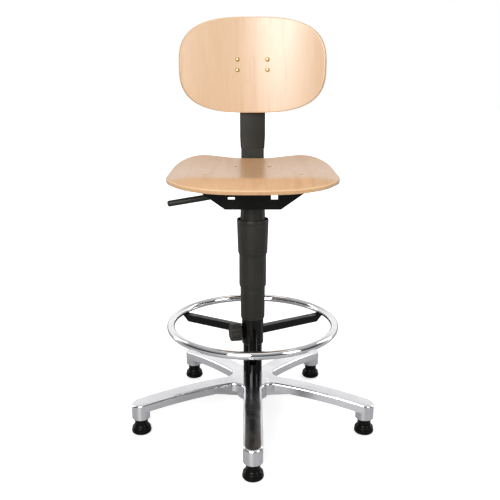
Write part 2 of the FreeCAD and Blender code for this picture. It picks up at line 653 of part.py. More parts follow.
def seat():
    line = seat_line_curve()
    grid = [[Vector(x, y, seat_height(x, y, line)) for x in range(-225, 226, 25)] for y in range(-215, 216, 10)]
    surface = Part.BSplineSurface()
    surface.interpolate(grid)
    board = surface.toShape().extrude(Vector(0, 0, -amount("seat_thick")))
    outline = superellipse(amount("seat_half_width"), amount("seat_half_depth"), 4, amount("seat_middle"),
                           lambda x, y: Vector(x, y, 600))
    prism = Part.Face(outline).extrude(Vector(0, 0, 120))
    blank = feature(board.common(prism))
    heads = []
    bolts = []
    nuts = []
    spacers = []
    for x, y in SEAT_BOLTS:
        top = seat_height(x, y, line)
        spot = (str(x), str(y), f"{top:.3f}")
        heads.append(cylinder("seat_head + 0.1", "20", (spot[0], spot[1], spot[2] + " - seat_sink")))
        heads.append(cylinder("screw_radius", "60", (spot[0], spot[1], spot[2] + " - 40")))
        shank = f"{-top:.3f} + plate_bottom - 9"
        bolts.append(place(turned(
            [("0", shank), ("screw_radius", shank), ("screw_radius", "0 - seat_sink"),
             ("seat_head", "0 - seat_sink"), ("seat_head", "0 - 0.4"), ("seat_head - 2.5", "0.6"), ("0", "0.9")]),
            spot))
        nut = doc.addObject("Part::Prism", "Nut")
        bind(nut, Circumradius="5.8", Height="5")
        place(nut, (spot[0], spot[1], "plate_bottom - 5"))
        nuts.append(cut(nut, cylinder("screw_radius", "20", (spot[0], spot[1], "plate_bottom - 10"))))
        pillar = cylinder("seat_head + 3", f"{top:.3f} - plate_top - 5", (spot[0], spot[1], "plate_top"))
        spacers.append(cut(pillar, blank, cylinder("screw_radius", "40", (spot[0], spot[1], "plate_top - 5"))))
    node("seat_panel", cut(blank, *heads))
    node("seat_bolts", group(*bolts))
    node("seat_nuts", group(*nuts))
    node("seat_spacers", group(*spacers))


# ---- back ----------------------------------------------------------------------------------------------

def back_upright():
    bar = slab("YZ_Plane",
               [("bar_nose", "bar_low"), ("bar_rear", "bar_low"), ("bar_rear", "bar_top"),
                ("bar_front", "bar_top"), ("bar_front", "bar_high"), ("bar_nose", "bar_high")],
               "bar_half + bar_half")
    rounded(bar, "bar_bend", crossbar_at("bar_rear", "bar_low"))
    rounded(bar, "bar_bend - bar_rear + bar_front", crossbar_at("bar_front", "bar_high"))
    sideways = Rotation(Vector(0, 1, 0), 90)
    eye = cylinder("eye_radius", "bar_half + bar_half", ("0 - bar_half", "axle_along", "axle_height"), sideways)
    bore = cylinder("axle_radius + slip", "100", ("0 - 50", "axle_along", "axle_height"), sideways)
    node("back_bar", cut(fused(bar, eye), bore))

    shroud = slab("XY_Plane",
                  [("0 - shroud_half", "shroud_front"), ("shroud_half", "shroud_front"),
                   ("shroud_half", "shroud_rear"), ("0 - shroud_half", "shroud_rear")],
                  "shroud_top - shroud_bottom")
    rounded(shroud, "sleeve_round - 2.5", upright_edges)
    place(shroud, ("0", "0", f"{amount('shroud_top + shroud_bottom') / 2}"))
    bar_way = span(("0 - bar_half", "bar_front", "shroud_bottom - 5"), ("bar_half", "bar_rear", "shroud_top + 5"))
    stud_slot = span(("0 - stud_hole - 1", "bar_rear - 1", "back_knob_height - 28"),
                     ("stud_hole + 1", "shroud_rear + 5", "shroud_top + 5"))
    node("bar_cover", cut(shroud, bar_way, stud_slot))


def back_slide():
    sleeve = slab("XY_Plane",
                  [("0 - sleeve_half", "sleeve_front"), ("sleeve_half", "sleeve_front"),
                   ("sleeve_half", "sleeve_rear"), ("0 - sleeve_half", "sleeve_rear")],
                  "sleeve_top - sleeve_bottom")
    rounded(sleeve, "sleeve_round", upright_edges)
    place(sleeve, ("0", "0", f"{amount('sleeve_top + sleeve_bottom') / 2}"))
    way = span(("0 - shroud_half - gap", "shroud_front - gap", "sleeve_bottom - 5"),
               ("shroud_half + gap", "shroud_rear + gap", "sleeve_top + 5"))
    backwards = Rotation(Vector(1, 0, 0), -90)
    stud_way = cylinder("stud_hole", "40", ("0", "shroud_rear - 10", "back_knob_height"), backwards)
    node("back_sleeve", cut(sleeve, way, stud_way))
    cap_plate = span(("2 - sleeve_half", "sleeve_front + 2", "sleeve_top"),
                     ("sleeve_half - 2", "sleeve_rear - 2", "sleeve_top + 3"))
    cap_plug = span(("0 - shroud_half", "shroud_front", "sleeve_top - 8"),
                    ("shroud_half", "shroud_rear", "sleeve_top"))
    node("sleeve_cap", fused(cap_plate, cap_plug))

    node("back_knob", place(hand_knob(), ("0", "sleeve_rear + gap", "back_knob_height"), backwards))
    node("back_knob_stud", place(stud("bar_rear + 2.6", "sleeve_rear + gap + knob_length - 8"),
                                 ("0", "0", "back_knob_height"), backwards))
    node("back_shoe", cylinder("shoe_radius", "2", ("0", "bar_rear + gap", "back_knob_height"), backwards))


def backrest():
    """A moulded panel, hollow towards the sitter, on a curved steel plate."""
    curve_middle = f"{amount('back_front - back_curve')}"
    face = cylinder("back_curve", "400", ("0", curve_middle, "700"))
    rear = cylinder("back_curve + back_thick", "400", ("0", curve_middle, "700"))
    outline = superellipse(amount("back_half_width"), amount("back_half_height"), 2.85, amount("back_middle"),
                           lambda x, z: Vector(x, 100, z))
    prism = feature(Part.Face(outline).extrude(Vector(0, 200, 0)))
    plate_rear = cylinder("back_curve + back_thick + sheet", "400", ("0", curve_middle, "700"))
    plate_area = span(("0 - 53", "100", "back_screw_low - 16"), ("53", "300", "back_screw_top + 16"))
    plate = common(plate_area, cut(plate_rear, rear))
    block = cut(span(("0 - 28", "back_front", "back_screw_low - 12"), ("28", "sleeve_front", "back_screw_top + 12")),
                rear)
    lean = math.degrees(math.asin(amount("back_screw_side") / amount("back_curve")))
    screws = []
    nuts = []
    ways = []
    for side in (1, -1):
        direction = Rotation(UP, side * -lean).multVec(Vector(0, 1, 0))
        turn = Rotation(UP, direction)
        for height in ("back_screw_top", "back_screw_low"):
            spot = ("0", curve_middle, height)
            ways.append(cylinder("screw_radius", "500", spot, turn))
            screws.append(place(turned(
                [("0", "back_curve - 3.4"), ("3.2", "back_curve - 2.7"), ("6", "back_curve - slip"),
                 ("screw_radius", "back_curve - slip"), ("screw_radius", "back_curve + back_thick + sheet + 6"),
                 ("0", "back_curve + back_thick + sheet + 6")]), spot, turn))
            nut = doc.addObject("Part::Prism", "Nut")
            bind(nut, Circumradius="5.8", Height="4.5")
            reach = direction * amount("back_curve + back_thick + sheet")
            nut.Placement = Placement(reach + Vector(0, amount("back_front - back_curve"), amount(height)), turn)
            nuts.append(cut(nut, cylinder("screw_radius", "500", spot, turn)))
    node("backrest_panel", cut(common(prism, cut(rear, face)), *ways))
    node("back_bracket", cut(fused(plate, block), *ways))
    node("back_screws", group(*screws))
    node("back_nuts", group(*nuts))


# ---- build, check and write ----------------------------------------------------------------------------

for build in (base_star, glides, stand_tube, thrust_bearing, gas_spring, telescopic_cover, foot_ring, mechanism,
              tilt_parts, release_lever, seat, back_upright, back_slide, backrest):
    build()
doc.recompute()

failed = [f"{item.Name} ({item.Label})" for item in doc.Objects if {"Invalid", "Error"} & set(item.State)]
if failed:
    raise RuntimeError("failed objects: " + ", ".join(failed))
os.makedirs("parts", exist_ok=True)
for item in NODES:
    shape = item.Shape
    if shape.isNull() or not shape.isValid() or not shape.Solids:
        raise RuntimeError(f"{item.Label} has no valid solid")
    shape.exportStep(f"parts/{item.Label}.step")
    print(f"{item.Label:22s} {len(shape.Solids):3d} solids {sum(s.Volume for s in shape.Solids) / 1000:9.2f} cm3")
print(len(NODES), "nodes")
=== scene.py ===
"""Adjustable swivel stool: finishes, plywood shells, turned and moulded parts, studio and camera."""

import json
import math

import bpy
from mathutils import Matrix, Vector


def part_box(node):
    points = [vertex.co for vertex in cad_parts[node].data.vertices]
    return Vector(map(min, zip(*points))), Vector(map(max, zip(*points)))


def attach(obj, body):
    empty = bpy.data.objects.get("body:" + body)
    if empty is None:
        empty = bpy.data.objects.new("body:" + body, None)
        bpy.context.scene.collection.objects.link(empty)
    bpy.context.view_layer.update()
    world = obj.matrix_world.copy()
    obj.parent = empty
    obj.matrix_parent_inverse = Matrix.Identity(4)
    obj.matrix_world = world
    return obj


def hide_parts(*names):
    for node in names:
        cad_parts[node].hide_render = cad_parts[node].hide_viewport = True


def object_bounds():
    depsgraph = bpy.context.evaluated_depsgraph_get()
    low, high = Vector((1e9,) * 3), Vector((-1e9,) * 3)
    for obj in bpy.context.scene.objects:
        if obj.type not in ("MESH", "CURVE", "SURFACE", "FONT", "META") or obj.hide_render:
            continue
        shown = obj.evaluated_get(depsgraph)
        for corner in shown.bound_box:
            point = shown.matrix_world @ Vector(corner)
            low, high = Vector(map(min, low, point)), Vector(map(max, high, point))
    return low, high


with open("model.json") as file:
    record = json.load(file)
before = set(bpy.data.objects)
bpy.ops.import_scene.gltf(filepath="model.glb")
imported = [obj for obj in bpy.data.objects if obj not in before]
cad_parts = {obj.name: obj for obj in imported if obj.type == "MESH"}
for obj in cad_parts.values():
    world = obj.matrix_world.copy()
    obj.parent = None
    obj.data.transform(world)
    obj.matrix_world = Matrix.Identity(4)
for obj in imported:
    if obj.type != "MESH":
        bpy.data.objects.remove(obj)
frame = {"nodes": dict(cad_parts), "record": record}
cad_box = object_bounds()

NODES = frame["nodes"]
MM = 0.001


# ---------------------------------------------------------------- modelling tools

def deselect():
    """Leaves object mode with nothing selected."""
    if bpy.context.object is not None and bpy.context.object.mode != "OBJECT":
        bpy.ops.object.mode_set(mode="OBJECT")
    bpy.ops.object.select_all(action="DESELECT")


def use(piece):
    """Selects one piece and makes it active."""
    deselect()
    piece.select_set(True)
    bpy.context.view_layer.objects.active = piece


def started(name):
    """Names the primitive that was just added."""
    piece = bpy.context.object
    piece.name = name
    piece.data.name = name
    return piece


def edit(piece, kind="FACE"):
    """Goes into edit mode with everything deselected."""
    use(piece)
    bpy.ops.object.mode_set(mode="EDIT")
    bpy.ops.mesh.select_mode(type=kind)
    bpy.ops.mesh.select_all(action="DESELECT")


def leave():
    """Comes out of edit mode."""
    bpy.ops.object.mode_set(mode="OBJECT")


def edit_faces(piece, wanted):
    """Goes into edit mode with only the wanted faces selected."""
    edit(piece)
    leave()
    for face in piece.data.polygons:
        face.select = wanted(face)
    bpy.ops.object.mode_set(mode="EDIT")


def settle(piece):
    """Puts the piece's place, turn and size into its mesh."""
    use(piece)
    bpy.ops.object.transform_apply(location=True, rotation=True, scale=True)


def tidy_faces(piece):
    """Merges doubled points and points every face outwards."""
    edit(piece, "VERT")
    bpy.ops.mesh.select_all(action="SELECT")
    bpy.ops.mesh.remove_doubles(threshold=0.02 * MM)
    bpy.ops.mesh.delete_loose()
    bpy.ops.mesh.select_all(action="SELECT")
    bpy.ops.mesh.normals_make_consistent(inside=False)
    leave()


def apply_modifier(piece, kind, **settings):
    """Adds one modifier, sets it and applies it."""
    use(piece)
    added = piece.modifiers.new(kind.lower(), kind)
    for key, value in settings.items():
        setattr(added, key, value)
    bpy.ops.object.modifier_apply(modifier=added.name)


def smooth(piece, degrees):
    """Shades the piece smooth, except across edges sharper than this."""
    use(piece)
    bpy.ops.object.shade_smooth_by_angle(angle=math.radians(degrees))


def joined(name, pieces):
    """Joins pieces into one, under a new name."""
    deselect()
    for piece in pieces:
        piece.select_set(True)
    bpy.context.view_layer.objects.active = pieces[0]
    bpy.ops.object.join()
    return started(name)


def copied(piece, name):
    """A copy of a piece with a mesh of its own."""
    double = piece.copy()
    double.data = piece.data.copy()
    double.name = name
    bpy.context.collection.objects.link(double)
    return double


def turned(name, outline, centre=(0, 0), steps=72):
    """Turns a closed outline of (radius, height) points about an upright axis."""
    deselect()
    bpy.ops.mesh.primitive_circle_add(vertices=len(outline), radius=1)
    piece = started(name)
    for point, (radius, height) in zip(piece.data.vertices, outline):
        point.co = (radius, 0, height)
    edit(piece, "EDGE")
    bpy.ops.mesh.select_all(action="SELECT")
    bpy.ops.mesh.spin(steps=steps, angle=math.tau, center=(0, 0, 0), axis=(0, 0, 1))
    leave()
    piece.location = (centre[0], centre[1], 0)
    settle(piece)
    tidy_faces(piece)
    return piece


def arc(centre, radius, start, end, count=6):
    """Points along an arc of an outline, angles in degrees."""
    turn = [math.radians(start + (end - start) * i / (count - 1)) for i in range(count)]
    return [(centre[0] + radius * math.cos(a), centre[1] + radius * math.sin(a)) for a in turn]


# ---------------------------------------------------------------- material tools

def material(name, base, roughness, metallic=0.0, **sockets):
    """A new material, with the values of its principled shader set."""
    made = bpy.data.materials.new(name)
    made.use_nodes = True
    tree = made.node_tree
    shader = tree.nodes["Principled BSDF"]
    shader.inputs["Base Color"].default_value = (*base, 1)
    shader.inputs["Roughness"].default_value = roughness
    shader.inputs["Metallic"].default_value = metallic
    for key, value in sockets.items():
        shader.inputs[key.replace("_", " ")].default_value = value
    return made, tree, shader


def node(tree, kind, **values):
    """A node, with its settings and its inputs set by name."""
    made = tree.nodes.new("ShaderNode" + kind)
    for key, value in values.items():
        if key in made.inputs:
            made.inputs[key].default_value = value
        else:
            setattr(made, key, value)
    return made


def stretched(tree, scale, shift=(0, 0, 0)):
    """The piece's own coordinates, scaled along each axis."""
    place = node(tree, "TexCoord")
    mapping = node(tree, "Mapping")
    mapping.inputs["Scale"].default_value = scale
    mapping.inputs["Location"].default_value = shift
    tree.links.new(place.outputs["Object"], mapping.inputs["Vector"])
    return mapping.outputs["Vector"]


def noise(tree, vector, detail, rough=0.5, distortion=0.0):
    """Cloudy noise over coordinates that are already scaled."""
    made = node(tree, "TexNoise", Scale=1.0, Detail=detail, Roughness=rough, Distortion=distortion)
    tree.links.new(vector, made.inputs["Vector"])
    return made.outputs["Fac"]


def ramp(tree, factor, stops):
    """A ramp of colours, or of plain values, at its stops."""
    made = node(tree, "ValToRGB")
    elements = made.color_ramp.elements
    while len(elements) < len(stops):
        elements.new(0.5)
    for element, (place, colour) in zip(elements, stops):
        element.position = place
        if not isinstance(colour, tuple):
            colour = (colour, colour, colour)
        element.color = (*colour, 1)
    tree.links.new(factor, made.inputs["Fac"])
    return made.outputs["Color"]


def mixed(tree, factor, first, second):
    """Mixes two colours; each may be a colour or an output."""
    made = node(tree, "Mix", data_type="RGBA")
    for place, value in (("Factor", factor), ("A", first), ("B", second)):
        socket = [s for s in made.inputs
                  if s.name == place and (s.type == "RGBA" or place == "Factor")][0]
        if isinstance(value, bpy.types.NodeSocket):
            tree.links.new(value, socket)
        elif place == "Factor":
            socket.default_value = value
        else:
            socket.default_value = (*value, 1)
    return [s for s in made.outputs if s.type == "RGBA"][0]


def arithmetic(tree, operation, first, second=0.0):
    """One sum; each side may be a number or an output."""
    made = node(tree, "Math", operation=operation)
    for socket, value in zip(made.inputs, (first, second)):
        if isinstance(value, bpy.types.NodeSocket):
            tree.links.new(value, socket)
        else:
            socket.default_value = value
    return made.outputs["Value"]


def bumped(tree, shader, height, distance, strength):
    """Gives the shader fine relief."""
    made = node(tree, "Bump", Strength=strength, Distance=distance)
    tree.links.new(height, made.inputs["Height"])
    tree.links.new(made.outputs["Normal"], shader.inputs["Normal"])


# ---------------------------------------------------------------- finishes

FIBRE_FINENESS = 7
FLECK_FINENESS = 34
FLECK_SHADE = 0.72


def lacquered_beech(name, figure, coat, light, dark, tan):
    """Beech veneer under satin lacquer. figure holds how far its figure runs along each axis."""
    made, tree, shader = material(name, light, 0.36, Coat_Weight=coat, Coat_Roughness=0.33,
                                  Specular_IOR_Level=0.5)
    broad_scale = tuple(1 / s for s in figure)
    broad = noise(tree, stretched(tree, broad_scale), 3.0, 0.55, 0.35)
    tone = ramp(tree, broad, [(0.30, dark), (0.47, light), (0.60, light), (0.78, tan)])
    fibre_scale = tuple(s * FIBRE_FINENESS for s in broad_scale)
    fibres = noise(tree, stretched(tree, fibre_scale, (3.1, 1.7, 0.4)), 4.0, 0.6)
    streaked = mixed(tree, ramp(tree, fibres, [(0.36, 0.26), (0.56, 0.0)]), tone, dark)
    fleck_scale = tuple(s * FLECK_FINENESS for s in broad_scale)
    flecks = noise(tree, stretched(tree, fleck_scale, (0.7, 5.3, 2.9)), 1.0, 0.4)
    marks = ramp(tree, flecks, [(0.66, 0.0), (0.74, 0.30)])
    flecked = mixed(tree, marks, streaked, tuple(c * FLECK_SHADE for c in dark))
    tree.links.new(flecked, shader.inputs["Base Color"])
    tree.links.new(ramp(tree, fibres, [(0.3, 0.40), (0.7, 0.31)]), shader.inputs["Roughness"])
    bumped(tree, shader, fibres, 0.08 * MM, 0.5)
    return made


PAIRS_OF_VENEERS = 4
GLUE_LINE = (0.40, 0.21, 0.10)
INNER_GLUE_LINE = (0.42, 0.22, 0.11)


def ply_edge(name):
    """The lacquered edge of the shell: eight veneers, every other one cut end on."""
    made, tree, shader = material(name, (0.72, 0.46, 0.24), 0.38, Coat_Weight=0.25, Coat_Roughness=0.2)
    depth = node(tree, "Attribute", attribute_name="ply_depth").outputs["Fac"]
    wobble = noise(tree, stretched(tree, (30, 30, 30)), 2.0)
    shifted = arithmetic(tree, "ADD", depth, arithmetic(tree, "MULTIPLY", wobble, 0.05))
    layer = arithmetic(tree, "FRACT", arithmetic(tree, "MULTIPLY", shifted, PAIRS_OF_VENEERS))
    veneers = ramp(tree, layer, [(0.0, GLUE_LINE), (0.07, (0.82, 0.56, 0.31)), (0.46, (0.80, 0.53, 0.29)),
                                 (0.50, INNER_GLUE_LINE), (0.56, (0.60, 0.36, 0.19)),
                                 (0.96, (0.62, 0.38, 0.20))])
    pores = noise(tree, stretched(tree, (900, 900, 900)), 2.0)
    speckled = mixed(tree, ramp(tree, pores, [(0.4, 0.3), (0.6, 0.0)]), veneers, (0.36, 0.20, 0.10))
    tree.links.new(speckled, shader.inputs["Base Color"])
    tree.links.new(ramp(tree, pores, [(0.3, 0.45), (0.7, 0.33)]), shader.inputs["Roughness"])
    bumped(tree, shader, layer, 0.10 * MM, 0.4)
    return made


def moulded_plastic(name, colour, roughness, grain=0.7 * MM, depth=0.05 * MM, wear=1.35, shine=0.22):
    """Injection-moulded plastic with a fine spark-eroded grain and slightly uneven gloss."""
    made, tree, shader = material(name, colour, roughness, Specular_IOR_Level=shine)
    fine = noise(tree, stretched(tree, (1 / grain,) * 3), 2.0)
    cloudy = noise(tree, stretched(tree, (14, 14, 9)), 3.0, 0.6)
    worn = tuple(min(1, c * wear) for c in colour)
    tree.links.new(mixed(tree, ramp(tree, cloudy, [(0.35, 0.0), (0.75, 1.0)]), colour, worn),
                   shader.inputs["Base Color"])
    tree.links.new(ramp(tree, cloudy, [(0.3, roughness * 0.88), (0.7, roughness * 1.14)]),
                   shader.inputs["Roughness"])
    bumped(tree, shader, fine, depth, 0.6)
    return made


def powder_coat(name, colour, roughness, shine=0.28):
    """Powder-coated steel: a faint orange peel under a semi-gloss skin."""
    made, tree, shader = material(name, colour, roughness, Specular_IOR_Level=shine,
                                  Coat_Weight=shine / 2.4, Coat_Roughness=0.12)
    peel = noise(tree, stretched(tree, (420, 420, 420)), 1.0)
    patches = noise(tree, stretched(tree, (22, 22, 22)), 3.0)
    lighter = tuple(c * 1.5 for c in colour)
    tree.links.new(mixed(tree, ramp(tree, patches, [(0.4, 0.0), (0.8, 1.0)]), colour, lighter),
                   shader.inputs["Base Color"])
    tree.links.new(ramp(tree, patches, [(0.3, roughness * 0.9), (0.7, roughness * 1.12)]),
                   shader.inputs["Roughness"])
    bumped(tree, shader, peel, 0.12 * MM, 0.5)
    return made


def bright_metal(name, colour, low, high, fineness):
    """Plated or polished metal, its roughness going from low to high in faint cloudy patches."""
    made, tree, shader = material(name, colour, low, 1.0)
    hairlines = noise(tree, stretched(tree, (fineness,) * 3), 3.0, 0.6)
    clouds = noise(tree, stretched(tree, (12, 12, 12)), 2.0)
    both = arithmetic(tree, "MULTIPLY", hairlines, clouds)
    tree.links.new(ramp(tree, both, [(0.12, low), (0.42, high)]), shader.inputs["Roughness"])
    darker = tuple(c * 0.90 for c in colour)
    tree.links.new(mixed(tree, ramp(tree, clouds, [(0.35, 0.0), (0.7, 1.0)]), colour, darker),
                   shader.inputs["Base Color"])
    bumped(tree, shader, hairlines, 0.02 * MM, 0.4)
    return made


BACK_FIGURE = (0.030, 0.030, 0.42)
SEAT_FIGURE = (0.030, 0.42, 0.060)
BACK_TONES = (0.730, 0.500, 0.320), (0.640, 0.395, 0.220), (0.770, 0.570, 0.390)
# The seat's tones are darker and more orange than the backrest's. This is painted shade: a shaded copy of
# the same beech that gives the seat, and its front roll most of all, the shade it shows under light from
# above.
SEAT_TONES_SHADED = (0.655, 0.385, 0.190), (0.575, 0.310, 0.140), (0.695, 0.440, 0.240)

FINISH = {
    "beech_back": lacquered_beech("beech_back", BACK_FIGURE, 0.95, *BACK_TONES),
    "beech_seat_shaded": lacquered_beech("beech_seat_shaded", SEAT_FIGURE, 0.55, *SEAT_TONES_SHADED),
    "ply_edge": ply_edge("ply_edge"),
    "black_plastic": moulded_plastic("black_plastic", (0.021, 0.020, 0.017), 0.40),
    "glide_plastic": moulded_plastic("glide_plastic", (0.0035, 0.0035, 0.003), 0.24, 1.2 * MM, 0.02 * MM,
                                     shine=0.12),
    "black_steel": powder_coat("black_steel", (0.0025, 0.0022, 0.0018), 0.24, 0.20),
    "gloss_tube": powder_coat("gloss_tube", (0.002, 0.002, 0.002), 0.08, 0.12),
    "polished_aluminium": bright_metal("polished_aluminium", (0.90, 0.90, 0.92), 0.12, 0.22, 60),
    "chrome": bright_metal("chrome", (0.93, 0.93, 0.94), 0.03, 0.07, 200),
    "zinc_steel": bright_metal("zinc_steel", (0.66, 0.66, 0.68), 0.25, 0.40, 300),
    "bearing_steel": bright_metal("bearing_steel", (0.72, 0.72, 0.73), 0.10, 0.20, 300),
    "brass": bright_metal("brass", (0.80, 0.60, 0.28), 0.18, 0.32, 500),
    "rubber": moulded_plastic("rubber", (0.014, 0.014, 0.014), 0.72, 0.9 * MM, 0.09 * MM),
    "white_plastic": moulded_plastic("white_plastic", (0.74, 0.74, 0.71), 0.40, 1.0 * MM, 0.03 * MM, 1.08),
}

for part in frame["record"]["subparts"]:
    slot = part["material_slot"]
    finish = FINISH["beech_seat_shaded"] if slot == "beech_ply" else FINISH[slot]
    shown = NODES[part["node"]]
    if not shown.data.materials:
        shown.data.materials.append(finish)
    for place in shown.material_slots:
        place.material = finish


# ---------------------------------------------------------------- plywood shells

SEAT_CORNER = 4.0
BACK_CORNER = 2.85
SEAT_THICK = 12 * MM
BACK_THICK = 11 * MM
BACK_CURVE = 420 * MM
EDGE_ROUND = 2.6 * MM
VENEER_BAND = 2.2 * MM
SHELL_CELLS = 72
SEAT_LINE = [(-0.215, 0.6435), (-0.198, 0.652), (-0.172, 0.6625), (-0.150, 0.669), (-0.125, 0.671),
             (-0.060, 0.6695), (0.040, 0.6665), (0.120, 0.6695), (0.190, 0.677), (0.215, 0.6805)]
FRONT_RUN_OUT = 1.3


def line_height(along):
    """The seat's middle line: a smooth curve through its points."""
    line = SEAT_LINE
    i = max(1, min(len(line) - 3, sum(1 for y, z in line if y <= along) - 1))
    (y0, z0), (y1, z1), (y2, z2), (y3, z3) = line[i - 1:i + 3]
    if along < y1:
        before = y0 - (y1 - y0), z0 - FRONT_RUN_OUT * (z1 - z0)
        (y0, z0), (y1, z1), (y2, z2), (y3, z3) = before, (y0, z0), (y1, z1), (y2, z2)
    t = (along - y1) / (y2 - y1)
    rise_in = (z2 - z0) / (y2 - y0) * (y2 - y1)
    rise_out = (z3 - z1) / (y3 - y1) * (y2 - y1)
    return ((2 * t ** 3 - 3 * t ** 2 + 1) * z1 + (t ** 3 - 2 * t ** 2 + t) * rise_in
            + (3 * t ** 2 - 2 * t ** 3) * z2 + (t ** 3 - t ** 2) * rise_out)


def seat_top(x, y):
    """Height of the seat's upper skin: dished across, its sides drooping at the rim."""
    lift = (0.0055 + 0.033 * (y + 0.090)) * math.sin(math.pi / 2 * min(abs(x) / 0.180, 1)) ** 2.4
    droop = 0.012 * (max(abs(x) - 0.120, 0) / 0.090) ** 2
    return line_height(y) + lift - droop


def shell_norm(u, v, corner):
    """How far out a point lies in a superellipse: 1 on its outline."""
    return (abs(u) ** corner + abs(v) ** corner) ** (1 / corner)


def rounded_sheet(name, corner):
    """A square grid drawn in to a superellipse, two units wide, lying flat."""
    deselect()
    bpy.ops.mesh.primitive_grid_add(x_subdivisions=SHELL_CELLS, y_subdivisions=SHELL_CELLS, size=2)
    sheet = started(name)
    for point in sheet.data.vertices:
        u, v = point.co.x, point.co.y
        reach = max(abs(u), abs(v))
        if reach > 0:
            point.co = point.co * (reach / shell_norm(u, v, corner))
    return sheet


def finish_shell(shell, thickness, outline_at, depth_at, narrowest):
    """Thickens a curved sheet, rounds its edge and marks how deep each point lies in the veneers."""
    apply_modifier(shell, "SOLIDIFY", thickness=thickness, offset=-1, use_even_offset=True)
    apply_modifier(shell, "BEVEL", width=EDGE_ROUND, segments=4, limit_method="ANGLE",
                   angle_limit=math.radians(50))
    depth = shell.data.attributes.new("ply_depth", "FLOAT", "POINT")
    depth.data.foreach_set("value", [depth_at(p.co) for p in shell.data.vertices])
    for face in shell.data.polygons:
        face.material_index = 1 if outline_at(face.center) > 1 - VENEER_BAND / narrowest else 0
    smooth(shell, 30)


def seat_shell():
    """The dished seat with its rolled front."""
    low, high = (Vector(corner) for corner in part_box("seat_panel"))
    half_x, half_y = (high.x - low.x) / 2, (high.y - low.y) / 2
    middle_y = (high.y + low.y) / 2
    shell = rounded_sheet("seat_shell", SEAT_CORNER)
    for point in shell.data.vertices:
        x, y = point.co.x * half_x, point.co.y * half_y + middle_y
        point.co = (x, y, seat_top(x, y))

    def outline_at(place):
        return shell_norm(place.x / half_x, (place.y - middle_y) / half_y, SEAT_CORNER)

    def depth_at(place):
        near = 2 * MM
        slope = (line_height(place.y + near) - line_height(place.y - near)) / (2 * near)
        return (seat_top(place.x, place.y) - place.z) / math.hypot(1, slope) / SEAT_THICK

    finish_shell(shell, SEAT_THICK, outline_at, depth_at, half_y)
    shell.data.materials.append(FINISH["beech_seat_shaded"])
    shell.data.materials.append(FINISH["ply_edge"])
    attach(shell, "seat_frame")
    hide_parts("seat_panel")


def backrest_shell():
    """The backrest, curved to part of a cylinder."""
    low, high = (Vector(corner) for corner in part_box("backrest_panel"))
    half_x, half_z = (high.x - low.x) / 2, (high.z - low.z) / 2
    middle_z = (high.z + low.z) / 2
    curve_middle = high.y - BACK_THICK - BACK_CURVE
    shell = rounded_sheet("backrest_shell", BACK_CORNER)
    for point in shell.data.vertices:
        x, z = point.co.x * half_x, point.co.y * half_z + middle_z
        point.co = (x, curve_middle + math.sqrt(BACK_CURVE ** 2 - x ** 2), z)

    def outline_at(place):
        return shell_norm(place.x / half_x, (place.z - middle_z) / half_z, BACK_CORNER)

    def depth_at(place):
        return (math.hypot(place.x, place.y - curve_middle) - BACK_CURVE) / BACK_THICK

    finish_shell(shell, BACK_THICK, outline_at, depth_at, half_z)
    shell.data.materials.append(FINISH["beech_back"])
    shell.data.materials.append(FINISH["ply_edge"])
    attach(shell, "back_slide")
    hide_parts("backrest_panel")


seat_shell()
backrest_shell()


# ---------------------------------------------------------------- turned and moulded parts

GLIDES_AT = 304 * MM
GLIDES = 5
COVER_WALL = 1.8 * MM
MIDDLE_STAGE = 35.0 * MM
LOWER_STAGE = 32.0 * MM
SPINDLE_HOLE = 14.0 * MM
KNOB_LENGTH = 27 * MM
FLUTE_DEPTH = 0.12
CLAMP_ANGLE = math.radians(195)
LEVER_RUN = 122 * MM
LEVER_DROP = 20.5 * MM
SLEEVE_WALL = 2.4 * MM


def finish_as(piece, finish, slot, body, *nodes):
    """Gives a piece its material, the body it rides on and the nodes it stands for."""
    piece.data.materials.clear()
    piece.data.materials.append(FINISH[finish])
    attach(piece, body)
    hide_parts(*nodes)


def glides():
    """Five bell-shaped glides: a rounded foot, a turned bead, a waist and a collar under the arm."""
    neck_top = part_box("glides")[1][2]
    foot, waist, neck = 25.4 * MM, 16.8 * MM, 17.9 * MM
    outline = [(0, 0.6 * MM), (12 * MM, 0.6 * MM), (14 * MM, 0), (18.2 * MM, 0)]
    outline += arc((18.4 * MM, 7.0 * MM), 7.0 * MM, -82, 30, 9)
    outline += [(foot - 1.2 * MM, 12.6 * MM), (foot - 2.0 * MM, 13.2 * MM), (foot - 1.4 * MM, 13.8 * MM)]
    outline += arc((19.8 * MM, 15.0 * MM), 4.2 * MM, 4, 60, 5)
    outline += [(19.6 * MM, 20.6 * MM), (18.1 * MM, 23.2 * MM), (17.2 * MM, 26.4 * MM),
                (waist, 29.6 * MM), (waist, 33.0 * MM), (neck - 0.5 * MM, 34.2 * MM), (neck, 35.0 * MM),
                (neck, neck_top - 0.8 * MM), (neck - 0.8 * MM, neck_top), (6.5 * MM, neck_top),
                (6.5 * MM, 12.4 * MM), (0, 12.4 * MM)]
    model = turned("glide_model", outline, steps=56)
    smooth(model, 32)
    made = []
    for step in range(GLIDES):
        bearing = math.radians(270 + 360 / GLIDES * step)
        glide = copied(model, f"glide_{step + 1}")
        glide.location = (GLIDES_AT * math.cos(bearing), GLIDES_AT * math.sin(bearing), 0)
        settle(glide)
        made.append(glide)
    bpy.data.objects.remove(model)
    finish_as(joined("glides_turned", made), "glide_plastic", "black_plastic", "base", "glides")


def groove(radius, height, width=0.9 * MM, depth=0.5 * MM):
    """Four outline points of a shallow turned groove, from the bottom up."""
    return [(radius, height - width), (radius - depth, height - width / 3),
            (radius - depth, height + width / 3), (radius, height + width)]


